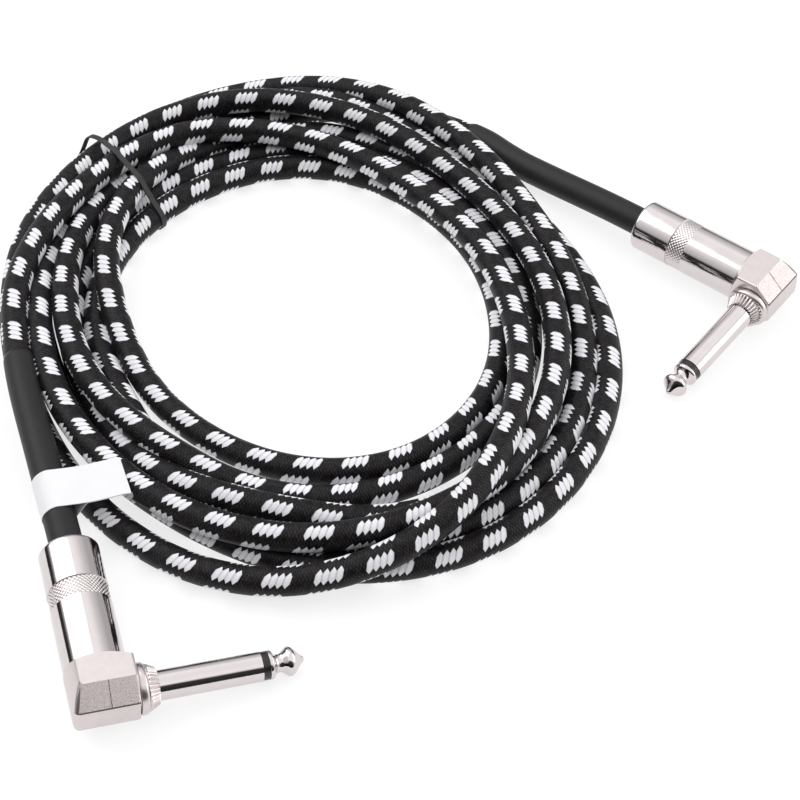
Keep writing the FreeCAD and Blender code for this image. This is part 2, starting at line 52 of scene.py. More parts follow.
COIL_MIDDLE = (-34.1, 44.4)
COIL_REACH = (47.5, 52.0)
CABLE_D = 6.6
SLEEVE_D = 7.3
CABLE_START = 26.0
EXIT_RUN = 42.0
BARREL_END = 37.1
SLEEVE_LENGTH = 74.0
SLEEVE_ROLL = 1.2
SLEEVE_GAP = 0.05

# The cable between barrel and coil, from the coil's middle, as in the part's source
LEADS = {
    "a": [(-54.5, -63.2, 10.9), (-59.2, -49.5, 11.0), (-64.2, -35.2, 10.7), (-68.2, -21.7, 10.3)],
    "b": [(73.5, 42.2, 6.6), (63.3, 51.8, 5.2), (54.3, 60.5, 4.1), (44.5, 72.3, 3.8)],
}

# One line for each time round, clockwise from the left, a place every 30 degrees: how far the turn
# lies outside COIL_REACH, and the layer it lies in (0 is on the surface)
TURNS = [
    ([24, 24.5, 24.7, 10, -1.3, -1.4, 1.6, 11, 29, 37, 29, 22.8], "111111112100"),
    ([25.2, 30, 36.5, 28.7, 12.3, 10, 12.7, 19.5, 24.5, 26.5, 20, 17.6], "011111111111"),
    ([18.7, 26, 31, 33, 23, 18.5, 25.5, 32.5, 35.7, 27.5, 14.5, 14.5], "100100000000"),
    ([18.6, 31, 43.5, 41, 25, 15.7, 19, 25.8, 28.7, 20.8, 9, 2.5], "000111000000"),
    ([6, 8.5, 10.2, 9, 3.5, 0.5, 1, 4.5, 4.5, -0.3, -4.5, -4], "000000000000"),
    ([1, 12.3, 20.5, 25.5, 12.5, 13.3, 13.5, 21.5, 22.5, 15.3, 14.5, 8.5], "011000000010"),
    ([12.2, 14.5, 14.8, 14.5, 8, 7.3, 7.3, 10, 10.5, 9.2, 10.5, 9], "000000000011"),
    ([13.5, 22, 25, 36, 34.5], "11000"),
]
TURN_START = 180.0
LANE_STEP = 30.0
SETTLE_STEP = 5.0
ROUTE_STEP = 15.0
SETTLE_ROUNDS = 400
SETTLE_SINK = 0.04
SETTLE_HOME = 0.05
LAYER_RISE = 0.93 * CABLE_D


# ---- the cable's route -----------------------------------------------------------------------

def plug_frame(name):
    """The plug's own axes: x along its shaft, y along its barrel, zero where the two cross."""
    pin = next(m for m in record["mounts"] if m["name"] == "jack_plug_" + name)
    turn = next(j for j in record["behaviour"]["joints"] if j["name"] == "barrel_turn_" + name)
    shaft = Vector(pin["axis"]).normalized()
    barrel = Vector(turn["axis"]).normalized()
    place = Matrix((shaft, barrel, shaft.cross(barrel))).transposed().to_4x4()
    place.translation = Vector(turn["pos_m"])
    return place


def smooth_between(values, at):
    """Values at whole numbers, joined by a Catmull-Rom curve and read at the given numbers."""
    ends = np.concatenate([[2 * values[0] - values[1]], values, [2 * values[-1] - values[-2]]])
    i = np.clip(np.floor(at).astype(int), 0, len(ends) - 4)
    f = at - i
    a, b, c, d = ends[i], ends[i + 1], ends[i + 2], ends[i + 3]
    cubic = (-a + 3 * b - 3 * c + d) * f ** 3 + (2 * a - 5 * b + 4 * c - d) * f ** 2
    return 0.5 * (cubic + (c - a) * f + 2 * b)


def settle(out, high):
    """Lets the turns sink onto the surface and each other, a cable's width apart.

    out and high are each place's distance outside COIL_REACH and height, every SETTLE_STEP."""
    turn = round(360 / SETTLE_STEP)
    home = out.copy()
    for _ in range(SETTLE_ROUNDS):
        high = np.maximum(high - SETTLE_SINK, CABLE_D / 2)
        out = out + SETTLE_HOME * (home - out)
        for gap in range(turn, len(out), turn):
            apart = out[gap:] - out[:-gap]
            above = high[gap:] - high[:-gap]
            distance = np.hypot(apart, above) + 1e-9
            push = 0.25 * np.clip(CABLE_D - distance, 0, None) / distance
            out[:-gap] -= push * apart
            out[gap:] += push * apart
            high[:-gap] -= push * above
            high[gap:] += push * above
        for line in (out, high):
            line[1:-1] += 0.25 * (line[:-2] - 2 * line[1:-1] + line[2:])
    return out, np.maximum(high, CABLE_D / 2)


def coil_points():
    """The coil's turns as points of the route, one every ROUTE_STEP."""
    lanes = np.array([lane for lanes, layers in TURNS for lane in lanes], float)
    layers = np.array([int(layer) for lanes, layers in TURNS for layer in layers], float)
    count = round((len(lanes) - 1) * LANE_STEP / SETTLE_STEP) + 1
    at = np.arange(count) * SETTLE_STEP / LANE_STEP
    heights = CABLE_D / 2 + LAYER_RISE * np.interp(at, np.arange(len(layers)), layers)
    out, high = settle(smooth_between(lanes, at), heights)
    stride = round(ROUTE_STEP / SETTLE_STEP)
    points = []
    for i in range(0, count - stride, stride):
        angle = math.radians(TURN_START - i * SETTLE_STEP)
        points.append((COIL_MIDDLE[0] + (COIL_REACH[0] + out[i]) * math.cos(angle),
                       COIL_MIDDLE[1] + (COIL_REACH[1] + out[i]) * math.sin(angle), high[i]))
    return [Vector(point) * MM for point in points]


def lead_points(name):
    """From the cut end inside the barrel to the coil."""
    place = plug_frame(name)
    inside = [place @ Vector((0, y * MM, 0)) for y in (CABLE_START, EXIT_RUN)]
    free = [Vector((x + COIL_MIDDLE[0], y + COIL_MIDDLE[1], z)) * MM for x, y, z in LEADS[name]]
    return inside + free


def spline_line(points):
    """Closely spaced points on the smooth line that the route's points pull into shape."""
    curve = bpy.data.curves.new("route", "CURVE")
    curve.dimensions = "3D"
    spline = curve.splines.new("NURBS")
    spline.points.add(len(points) - 1)
    for point, target in zip(spline.points, points):
        point.co = (*target, 1.0)
    spline.order_u = 3
    spline.use_endpoint_u = True
    spline.resolution_u = 16
    holder = bpy.data.objects.new("route", curve)
    bpy.context.scene.collection.objects.link(holder)
    line = bpy.data.meshes.new_from_object(holder)
    found = [vertex.co.copy() for vertex in line.vertices]
    bpy.data.objects.remove(holder)
    bpy.data.meshes.remove(line)
    return found


# ---- meshes ----------------------------------------------------------------------------------

def new_object(name, vertices, faces, uvs=None):
    mesh = bpy.data.meshes.new(name)
    mesh.from_pydata(vertices, [], faces)
    if uvs is not None:
        layer = mesh.uv_layers.new(name="weave")
        flat = [c for face in uvs for corner in face for c in corner]
        layer.data.foreach_set("uv", flat)
    mesh.polygons.foreach_set("use_smooth", [True] * len(mesh.polygons))
    mesh.update()
    piece = bpy.data.objects.new(name, mesh)
    bpy.context.scene.collection.objects.link(piece)
    return piece


def line_lengths(line):
    """Distance along the line to each of its points."""
    lengths = [0.0]
    for before, after in zip(line, line[1:]):
        lengths.append(lengths[-1] + (after - before).length)
    return lengths


def tube(name, line, radius, around, twist=None, start=0.0):
    """A tube along the line. radius and twist are functions of the distance along it, in metres.

    Its UV holds the distance along in millimetres and the share of the way round."""
    lengths = [start + length for length in line_lengths(line)]
    vertices = []
    for i, centre in enumerate(line):
        ahead = (line[min(i + 1, len(line) - 1)] - line[max(i - 1, 0)]).normalized()
        side = ahead.cross(Vector((0, 0, 1))).normalized()
        up = side.cross(ahead)
        offset = twist(lengths[i]) if twist else 0.0
        for k in range(around):
            angle = 2 * math.pi * k / around + offset
            out = side * math.cos(angle) + up * math.sin(angle)
            vertices.append(centre + out * radius(lengths[i]))
    faces = []
    uvs = []
    for i in range(len(line) - 1):
        for k in range(around):
            after = (k + 1) % around
            faces.append((i * around + k, i * around + after,
                          (i + 1) * around + after, (i + 1) * around + k))
            low, high = lengths[i] / MM, lengths[i + 1] / MM
            uvs.append(((low, k / around), (low, (k + 1) / around),
                        (high, (k + 1) / around), (high, k / around)))
    last = (len(line) - 1) * around
    faces.append(tuple(range(around - 1, -1, -1)))
    faces.append(tuple(last + k for k in range(around)))
    uvs.append([(lengths[0] / MM, k / around) for k in range(around - 1, -1, -1)])
    uvs.append([(lengths[-1] / MM, k / around) for k in range(around)])
    return new_object(name, vertices, faces, uvs)


def turned(name, place, along, profile, around, cut=None):
    """A turned piece from (distance along the axis, radius) pairs.

    A profile that returns to its first point makes a hollow piece, any other is closed by end faces.
    along is the plug's x or y axis. cut(distance, angle) is what a tool takes off the radius."""
    hollow = profile[0] == profile[-1]
    rings = profile[:-1] if hollow else profile
    vertices = []
    for distance, radius in rings:
        for k in range(around):
            angle = 2 * math.pi * k / around
            depth = cut(distance, angle) if cut else 0.0
            reach = max(radius - depth, 0.001)
            first, second = reach * math.cos(angle), reach * math.sin(angle)
            local = (distance, first, second) if along == "x" else (second, distance, first)
            vertices.append(place @ (Vector(local) * MM))
    faces = []
    for i in range(len(profile) - 1):
        near, far = i * around, (i + 1) % len(rings) * around
        for k in range(around):
            after = (k + 1) % around
            faces.append((near + k, near + after, far + after, far + k))
    if not hollow:
        faces.append(tuple(range(around - 1, -1, -1)))
        faces.append(tuple(far + k for k in range(around)))
    return new_object(name, vertices, faces)


def arc(centre, radius, start, end, steps=6):
    """Points of a round corner in a profile; angles in degrees from the axis direction."""
    return [(centre[0] + radius * math.cos(math.radians(a)), centre[1] + radius * math.sin(math.radians(a)))
            for a in np.linspace(start, end, steps)]


def sharp_edges(piece, degrees):
    """Keeps edges above the given angle crisp while the rest shades smoothly."""
    piece.data.set_sharp_from_angle(angle=math.radians(degrees))


# ---- materials -------------------------------------------------------------------------------

class Term:
    """A number at each point of a surface, worked out by shader nodes."""

    def __init__(self, surface, socket):
        self.surface = surface
        self.socket = socket

    def math(self, operation, *others):
        return self.surface.math(operation, self, *others)

    def __add__(self, other):
        return self.math("ADD", other)

    def __sub__(self, other):
        return self.math("SUBTRACT", other)

    def __mul__(self, other):
        return self.math("MULTIPLY", other)

    def __truediv__(self, other):
        return self.math("DIVIDE", other)

    def floor(self):
        return self.math("FLOOR")

    def part(self):
        return self.math("FRACT")

    def size(self):
        return self.math("ABSOLUTE")

    def below(self, limit):
        return self.math("LESS_THAN", limit)

    def tent(self):
        """0 at both sides of each whole step and 1 in its middle."""
        return self.surface.math("SUBTRACT", 1.0, (self.part() * 2.0 - 1.0).size())


class Surface:
    """A material with one principled shader, and short ways to build what feeds it."""

    def __init__(self, name, **sockets):
        self.material = bpy.data.materials.new(name)
        self.material.use_nodes = True
        self.tree = self.material.node_tree
        self.shader = next(n for n in self.tree.nodes if n.type == "BSDF_PRINCIPLED")
        for socket, amount in sockets.items():
            self.feed(self.shader.inputs[socket.replace("_", " ")], amount)

    def feed(self, socket, amount):
        if isinstance(amount, Term):
            self.tree.links.new(amount.socket, socket)
        elif isinstance(amount, tuple) and len(amount) == 3 and socket.type == "RGBA":
            socket.default_value = (*amount, 1.0)
        else:
            socket.default_value = amount

    def node(self, kind, **settings):
        made = self.tree.nodes.new(kind)
        for name, setting in settings.items():
            setattr(made, name, setting)
        return made

    def math(self, operation, *amounts):
        made = self.node("ShaderNodeMath", operation=operation)
        for socket, amount in zip(made.inputs, amounts):
            self.feed(socket, amount)
        return Term(self, made.outputs[0])

    def uv(self):
        """Distance along the cable in millimetres, and the share of the way round it."""
        split = self.node("ShaderNodeSeparateXYZ")
        layer = self.node("ShaderNodeUVMap", uv_map="weave")
        self.tree.links.new(layer.outputs[0], split.inputs[0])
        return Term(self, split.outputs[0]), Term(self, split.outputs[1])

    def place(self):
        """The point in the row's frame, in metres."""
        return Term(self, self.node("ShaderNodeTexCoord").outputs["Object"])

    def plug_place(self, axes):
        """The point in a plug's own axes, x, y and z in millimetres."""
        made = self.node("ShaderNodeMapping", vector_type="POINT")
        inverse = axes.inverted()
        made.inputs["Location"].default_value = inverse.translation / MM
        made.inputs["Rotation"].default_value = inverse.to_euler()
        made.inputs["Scale"].default_value = (1 / MM, 1 / MM, 1 / MM)
        self.feed(made.inputs["Vector"], self.place())
        split = self.node("ShaderNodeSeparateXYZ")
        self.tree.links.new(made.outputs[0], split.inputs[0])
        return [Term(self, socket) for socket in split.outputs]

    def noise(self, grain, detail=2.0, roughness=0.5):
        """Soft blotches about grain millimetres across."""
        made = self.node("ShaderNodeTexNoise")
        self.feed(made.inputs["Vector"], self.place())
        made.inputs["Scale"].default_value = 1.0 / (grain * MM)
        made.inputs["Detail"].default_value = detail
        made.inputs["Roughness"].default_value = roughness
        return Term(self, made.outputs["Fac"])

    def ramp(self, amount, low, high, start=0.0, end=1.0):
        """Carries start..end of the amount to low..high."""
        made = self.node("ShaderNodeMapRange")
        for socket, number in zip(made.inputs, (amount, start, end, low, high)):
            self.feed(socket, number)
        return Term(self, made.outputs[0])

    def blend(self, share, first, second):
        made = self.node("ShaderNodeMix", data_type="RGBA")
        colours = [socket for socket in made.inputs if socket.type == "RGBA"]
        self.feed(made.inputs[0], share)
        self.feed(colours[0], first)
        self.feed(colours[1], second)
        output = next(socket for socket in made.outputs if socket.type == "RGBA")
        return Term(self, output)

    def colour(self, amount):
        self.feed(self.shader.inputs["Base Color"], amount)

    def roughness(self, amount):
        self.feed(self.shader.inputs["Roughness"], amount)

    def bump(self, height, depth, strength=1.0):
        """Height 0..1 stands for depth millimetres."""
        made = self.node("ShaderNodeBump")
        made.inputs["Strength"].default_value = strength
        made.inputs["Distance"].default_value = depth * MM
        self.feed(made.inputs["Height"], height)
        self.tree.links.new(made.outputs[0], self.shader.inputs["Normal"])


BRAID_ROUND = math.pi * CABLE_D
BRAID_ROWS = 4
PATCH_PERIOD = 10.9
LEAVES = 4
LEAF_PITCH = 1.5
LEAF_HALF = 1.8
LEAF_TOOTH = 1.0
YARN = LEAF_PITCH / 2
YARN_LEAN = 12 * YARN / BRAID_ROUND


def braid():
    """Black diagonal yarns with rows of white patches, each a few slanted pointed leaves; yarns and leaves
    carry painted shade and highlight.
    """
    surface = Surface("woven_braid", Specular_IOR_Level=0.18, Sheen_Weight=0.02, Sheen_Roughness=0.4)
    along, share = surface.uv()
    around = share * BRAID_ROUND
    row = (share * float(BRAID_ROWS)).floor()
    row_width = BRAID_ROUND / BRAID_ROWS
    across = around - (row + 0.5) * row_width
    start = along - across * YARN_LEAN - row * (PATCH_PERIOD / BRAID_ROWS)
    place = start.math("FLOORED_MODULO", PATCH_PERIOD)
    leaf = place / LEAF_PITCH
    tent = leaf.tent()
    reach = tent * LEAF_TOOTH + (LEAF_HALF - LEAF_TOOTH)
    edge = surface.ramp(reach - across.size(), 0.0, 1.0, -0.06, 0.06)
    white = edge * place.below(LEAVES * LEAF_PITCH)

    rising = (along + around * YARN_LEAN) / YARN
    falling = (along - around * YARN_LEAN) / YARN
    lattice = (rising.floor() + falling.floor()) / 4.0
    rising_over = lattice.part().below(0.49)
    rising_dome = rising.tent() * falling.tent().math("POWER", 0.4)
    falling_dome = falling.tent() * rising.tent().math("POWER", 0.4)
    weave = rising_over * rising_dome + (surface.math("SUBTRACT", 1.0, rising_over)) * falling_dome

    thread = (leaf * 4.0).tent()
    leaf_relief_and_shade = surface.ramp(tent, 0.0, 1.0, 0.0, 0.45)
    fibre = surface.noise(0.5, 3.0)
    mottled_crown_highlight = surface.ramp(surface.noise(1.3, 4.0, 0.65), 0.0, 1.5, 0.35, 0.65)
    # Painted shade and highlight: the black yarns are painted lighter on their crowns and darker where they
    # dip under each other, and the crown highlight comes and goes in soft random blotches.
    black = surface.blend(weave * mottled_crown_highlight, (0.0014, 0.0012, 0.0016), (0.032, 0.026, 0.030))
    # Painted shade: each white leaf is painted lighter in its middle and darker at its edges and between
    # its threads.
    shade = leaf_relief_and_shade * (thread * 0.12 + 0.88) * surface.ramp(fibre, 0.86, 1.0)
    pale = surface.blend(shade, (0.56, 0.55, 0.59), (0.90, 0.89, 0.93))
    surface.colour(surface.blend(white, black, pale))
    surface.roughness(surface.ramp(white, 0.45, 0.62))
    height = weave * 0.45 + white * (leaf_relief_and_shade * 0.25 + 0.5 + thread * 0.06)
    surface.bump(height, 0.14)
    return surface.material


def shrink_tube():
    surface = Surface("shrink_tube", Specular_IOR_Level=0.3)
    mottling = surface.noise(1.4, 4.0)
    surface.colour(surface.blend(mottling, (0.011, 0.010, 0.011), (0.021, 0.019, 0.021)))
    surface.roughness(surface.ramp(mottling, 0.42, 0.56))
    surface.bump(surface.noise(0.35, 5.0, 0.6), 0.02)
    return surface.material


def polished_nickel():
    surface = Surface("polished_nickel", Metallic=1.0)
    haze = surface.noise(3.0, 4.0)
    surface.colour(surface.blend(haze, (0.63, 0.58, 0.58), (0.70, 0.65, 0.65)))
    surface.roughness(surface.ramp(haze, 0.05, 0.12))
    surface.bump(surface.noise(0.9, 3.0), 0.004)
    return surface.material


def satin_nickel():
    surface = Surface("satin_nickel", Metallic=1.0)
    haze = surface.noise(1.6, 5.0)
    surface.colour(surface.blend(haze, (0.61, 0.55, 0.545), (0.71, 0.65, 0.645)))
    surface.roughness(surface.ramp(haze, 0.24, 0.36))
    surface.bump(surface.noise(0.22, 4.0), 0.012)
    return surface.material


PARTING_AT = 1.1
PARTING_WIDTH = 0.10
SLANT_LOW = 3.1
SLANT_BACK = -6.35
SLANT_BACK_LEAN = 0.28


def cast_grain_and_edge_shade(name, axes):
    """The unpolished slanted faces: sandy, with dark pits, a dark parting line and painted shade along the
    low and back borders.
    """
    surface = Surface("cast_grain_" + name, Metallic=1.0)
    grit = surface.noise(0.16, 4.0, 0.7)
    pits = surface.ramp(grit, 0.0, 1.0, 0.38, 0.52)
    across, along, up = surface.plug_place(axes)
    wander = (surface.noise(0.8, 2.0) - 0.5) * 0.5
    parting = (across + wander - PARTING_AT).size().below(PARTING_WIDTH)
    # Painted shade: near-black strips along the face's low edge and its back border, where the block's
    # edges fall in shadow; they share the parting line's near-black.
    low_edge_shade = up.size().below(SLANT_LOW)
    back_edge_shade = (across - up.size() * SLANT_BACK_LEAN + wander * 0.3).below(SLANT_BACK)
    dark = parting.math("MAXIMUM", low_edge_shade).math("MAXIMUM", back_edge_shade)
    sand = surface.blend(pits, (0.38, 0.33, 0.32), (0.90, 0.81, 0.80))
    surface.colour(surface.blend(dark * 0.8, sand, (0.05, 0.04, 0.04)))
    surface.roughness(surface.ramp(grit, 0.5, 0.36))
    surface.bump(grit - dark * 0.5, 0.10)
    return surface.material


def moulded_black():
    surface = Surface("black_insulator", Specular_IOR_Level=0.5)
    mottling = surface.noise(0.8, 3.0)
    surface.colour(surface.blend(mottling, (0.008, 0.008, 0.008), (0.018, 0.018, 0.018)))
    surface.roughness(surface.ramp(mottling, 0.22, 0.34))
    surface.bump(surface.noise(0.3, 3.0), 0.006)
    return surface.material


def label_film():
    surface = Surface("label_film", Specular_IOR_Level=0.45)
    mottling = surface.noise(4.0, 3.0)
    surface.colour(surface.blend(mottling, (0.80, 0.79, 0.81), (0.86, 0.85, 0.87)))
    surface.roughness(surface.ramp(mottling, 0.38, 0.5))
    surface.bump(surface.noise(1.2, 2.0), 0.02)
    return surface.material


def plain(name, dark, light, rough, metallic=0.0, grain=0.8):
    """Materials of the pieces inside the plugs and of the tie."""
    surface = Surface(name, Metallic=metallic)
    mottling = surface.noise(grain, 3.0)
    surface.colour(surface.blend(mottling, dark, light))
    surface.roughness(surface.ramp(mottling, rough, rough + 0.12))
    surface.bump(surface.noise(grain / 3, 3.0), 0.01)
    return surface.material


MATERIALS = {
    "polished_nickel": polished_nickel(),
    "cast_nickel": satin_nickel(),
    "black_insulator": moulded_black(),
    "brass_inner": plain("brass_inner", (0.62, 0.46, 0.22), (0.75, 0.58, 0.30), 0.25, 1.0),
    "black_jacket": plain("black_jacket", (0.015, 0.015, 0.015), (0.03, 0.03, 0.03), 0.5),
    "clear_insulation": plain("clear_insulation", (0.75, 0.74, 0.68), (0.85, 0.84, 0.78), 0.35),
    "bare_copper": plain("bare_copper", (0.60, 0.30, 0.18), (0.75, 0.42, 0.27), 0.25, 1.0, 0.3),
    "clear_liner": plain("clear_liner", (0.72, 0.76, 0.76), (0.82, 0.85, 0.85), 0.2),
    "solder": plain("solder", (0.55, 0.55, 0.56), (0.72, 0.72, 0.73), 0.2, 1.0, 0.5),
    "woven_braid": braid(),
    "shrink_tube": shrink_tube(),
    "tie_plastic": plain("tie_plastic", (0.010, 0.010, 0.011), (0.022, 0.022, 0.024), 0.4),
    "label_film": label_film(),
}


def dress(piece, slot):
    piece.data.materials.clear()
    piece.data.materials.append(MATERIALS[slot])


def add(piece, slot, body, *replaced):
    """A new piece: its finish, the body that it rides on and the CAD nodes that it stands for."""
    dress(piece, slot)
    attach(piece, body)
    if replaced:
        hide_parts(*replaced)
    return piece


for subpart in record["subparts"]:
    dress(nodes[subpart["node"]], subpart["material_slot"])

# ---- plugs -----------------------------------------------------------------------------------

BARREL_R = 6.6
BARREL_START = 6.0
BORE_R = 5.65
REAR_WALL = 1.4
REAR_HOLE_R = 4.05
KNURL = (BARREL_END - 15.6, BARREL_END - 11.0)
KNURL_COUNT = 44
KNURL_DEPTH = 0.224
KNURL_SUNK = 0.10
RIM_ROUND = 0.9
HOLE_ROUND = 0.3


def knurl(distance, angle):
    """Diamonds left standing between two crossing sets of grooves."""
    if not KNURL[0] < distance < KNURL[1]:
        return 0.0
    lean = (distance - KNURL[0]) * KNURL_COUNT / (2 * math.pi * BARREL_R)
    turns = angle * KNURL_COUNT / (2 * math.pi)
    grooves = [abs(((turns + sign * lean) % 1.0) * 2 - 1) for sign in (1, -1)]
    return KNURL_SUNK + KNURL_DEPTH * (1 - grooves[0] * grooves[1])


def barrel(name, place):
    """The screwed shell: a bore, a knurled band and a rounded rear rim round the cable's hole."""
    profile = [(BARREL_START, BORE_R), (BARREL_START, BARREL_R - 0.15), (BARREL_START + 0.15, BARREL_R)]
    profile += [(y, BARREL_R) for y in (BARREL_START + 0.4, KNURL[0] - 0.3, KNURL[0] - 0.05)]
    profile += [(y, BARREL_R) for y in np.arange(KNURL[0] + 0.02, KNURL[1], 0.12)]
    profile += [(y, BARREL_R) for y in (KNURL[1] + 0.05, KNURL[1] + 0.3, BARREL_END - 1.4)]
    profile += arc((BARREL_END - RIM_ROUND, BARREL_R - RIM_ROUND), RIM_ROUND, 90, 0)
    profile += [(BARREL_END, REAR_HOLE_R + HOLE_ROUND)]
    profile += arc((BARREL_END - HOLE_ROUND, REAR_HOLE_R + HOLE_ROUND), -HOLE_ROUND, -180, -90, 4)
    profile += [(BARREL_END - REAR_WALL, REAR_HOLE_R), (BARREL_END - REAR_WALL, BORE_R)]
    profile += [(BARREL_START, BORE_R)]
    piece = turned("barrel_shell_" + name, place, "y", profile, 352, knurl)
    sharp_edges(piece, 35)
    return add(piece, "polished_nickel", "barrel_body_" + name, "barrel_" + name)


COLLAR_START = 7.2
COLLAR_END = 11.4
COLLAR_BORE_R = 3.2
CONE_START = COLLAR_START + 1.95
CONE_SLOPE = 0.52
SERRATIONS = 30
SERRATION_DEPTH = 0.42
SERRATION_RUN_IN = 0.5


def serration(distance, angle):
    """Radial grooves in the collar's cone."""
    if distance < CONE_START:
        return 0.0
    fade = min((distance - CONE_START) / SERRATION_RUN_IN, 1.0)
    wave = (angle * SERRATIONS / (2 * math.pi)) % 1.0
    return SERRATION_DEPTH * fade * (1 - abs(2 * wave - 1)) ** 1.5


def collar(name, place):
    """A smooth rounded flange and a serrated cone, bored through for the shaft."""
    profile = [(COLLAR_START, COLLAR_BORE_R), (COLLAR_START, 5.2)]
    profile += arc((COLLAR_START + 0.5, 4.9), 0.5, 180, 90, 5)
    profile += arc((COLLAR_START + 1.1, 4.6), 0.8, 90, 20, 5)
    profile += [(x, 5.0 - CONE_SLOPE * (x - CONE_START)) for x in np.linspace(9.2, 11.2, 9)]
    profile += [(COLLAR_END, 3.75), (COLLAR_END, 3.45), (COLLAR_END - 0.7, 3.35)]
    profile += [(COLLAR_END - 0.7, COLLAR_BORE_R), (COLLAR_START, COLLAR_BORE_R)]
    piece = turned("collar_ring_" + name, place, "x", profile, 360, serration)
    sharp_edges(piece, 40)
    return add(piece, "cast_nickel", "cable_assembly", "collar_" + name)


TIP_START = 34.7
ROD_R = 1.2
SLANT_FACING = 0.8


def tip(name, place):
    """Flange, neck, ball and rounded point, one smooth turned outline."""
    x = TIP_START
    outline = [(0, 3.1), (0.35, 3.12), (0.75, 3.0), (1.1, 2.55), (1.5, 2.15), (2.1, 1.95), (2.7, 2.05),
               (3.3, 2.5), (3.9, 2.98), (4.45, 3.15), (4.95, 3.05), (5.45, 2.7), (6.1, 2.0), (6.8, 1.2),
               (7.25, 0.8), (7.5, 0.6), (7.65, 0.35), (7.7, 0.01)]
    at = np.linspace(0, len(outline) - 1, 90)
    distance = smooth_between(np.array([p[0] for p in outline], float), at)
    radius = smooth_between(np.array([p[1] for p in outline], float), at)
    profile = [(x, ROD_R)] + [(x + d, r) for d, r in zip(distance, np.maximum(radius, 0.01))]
    piece = turned("tip_contact_" + name, place, "x", profile, 96)
    return add(piece, "polished_nickel", "cable_assembly", "tip_" + name)


def elbow(name, place):
    """The cast block keeps its shape; its slanted end faces are left unpolished, with painted shade along
    their borders.
    """
    block = nodes["elbow_" + name]
    block.data.materials.append(cast_grain_and_edge_shade(name, place))
    turn = place.to_3x3().transposed()
    for face in block.data.polygons:
        normal = turn @ face.normal
        if (abs(normal.z) - normal.y) * math.sqrt(0.5) > SLANT_FACING:
            face.material_index = 1


for plug in "ab":
    axes = plug_frame(plug)
    barrel(plug, axes)
    collar(plug, axes)
    tip(plug, axes)
    elbow(plug, axes)

# ---- cable, sleeves, tie and label -----------------------------------------------------------

route = lead_points("a") + coil_points() + lead_points("b")[::-1]
line = spline_line(route)


def twist(distance):
    """The rows of the braid wander slowly round the cable."""
    return math.radians(20) + 0.5 * math.sin(distance * 9.0) + 0.3 * math.sin(distance * 23.0 + 1.0)


def sleeve_part(name, whole):
    """Heat-shrink sleeve over the first stretch of the line, with a slightly rolled end."""
    lengths = line_lengths(whole)
    stretch = [point for point, at in zip(whole, lengths) if at <= SLEEVE_LENGTH * MM]
    end = line_lengths(stretch)[-1]

    def radius(at):
        close = min(max((end - at) / (SLEEVE_ROLL * MM), 0.0), 1.0)
        return (CABLE_D / 2 + SLEEVE_GAP + (SLEEVE_D - CABLE_D) / 2 * math.sqrt(close)) * MM

    piece = tube("heat_shrink_" + name, stretch, radius, 48)
    return add(piece, "shrink_tube", "cable_assembly", "lead_sleeve_" + name)


def ribbon(name, centres, across, width, thick, closed=False):
    """A flat band along the centres; across is the direction of its width at each of them."""
    count = len(centres)
    edge = thick * 0.3
    half, low = width / 2, thick / 2
    outline = [(half - edge, low), (edge - half, low), (-half, low - edge), (-half, edge - low),
               (edge - half, -low), (half - edge, -low), (half, edge - low), (half, low - edge)]
    vertices = []
    for i, centre in enumerate(centres):
        before = centres[i - 1] if closed or i > 0 else centre
        after = centres[(i + 1) % count] if closed or i < count - 1 else centre
        ahead = (after - before).normalized()
        side = (across[i] - ahead * across[i].dot(ahead)).normalized()
        out = side.cross(ahead)
        vertices += [centre + side * s + out * o for s, o in outline]
    ring = len(outline)
    faces = []
    for i in range(count if closed else count - 1):
        ahead = (i + 1) % count
        for k in range(ring):
            after = (k + 1) % ring
            faces.append((i * ring + k, i * ring + after, ahead * ring + after, ahead * ring + k))
    if not closed:
        faces.append(tuple(range(ring - 1, -1, -1)))
        faces.append(tuple((count - 1) * ring + k for k in range(ring)))
    piece = new_object(name, vertices, faces)
    sharp_edges(piece, 40)
    return piece


def evenly(points, count, closed):
    """The same line as evenly spaced points."""
    whole = points + points[:1] if closed else points
    lengths = line_lengths(whole)
    at = np.linspace(0, lengths[-1], count + 1)[:-1] if closed else np.linspace(0, lengths[-1], count)
    columns = [np.interp(at, lengths, [point[i] for point in whole]) for i in range(3)]
    return [Vector(column) for column in zip(*columns)]


def hull(points):
    """The corners of the tightest loop round the points, counter-clockwise."""
    ordered = sorted(points)
    loops = []
    for run in (ordered, ordered[::-1]):
        side = []
        for point in run:
            while len(side) > 1:
                (ax, ay), (bx, by) = side[-2], side[-1]
                if (bx - ax) * (point[1] - ay) - (by - ay) * (point[0] - ax) > 0:
                    break
                side.pop()
            side.append(point)
        loops += side[:-1]
    return loops


TIE_ANGLE = math.radians(137.5)
TIE_WIDTH = 1.6
TIE_THICK = 0.45
TIE_GAP = 0.1
TIE_STAND_OFF = 2.4
TIE_LEAN = -4.0
TIE_FOOT = 3.5
TIE_ARCH_AT = math.radians(33)
TIE_ARCH_WIDTH = 0.5


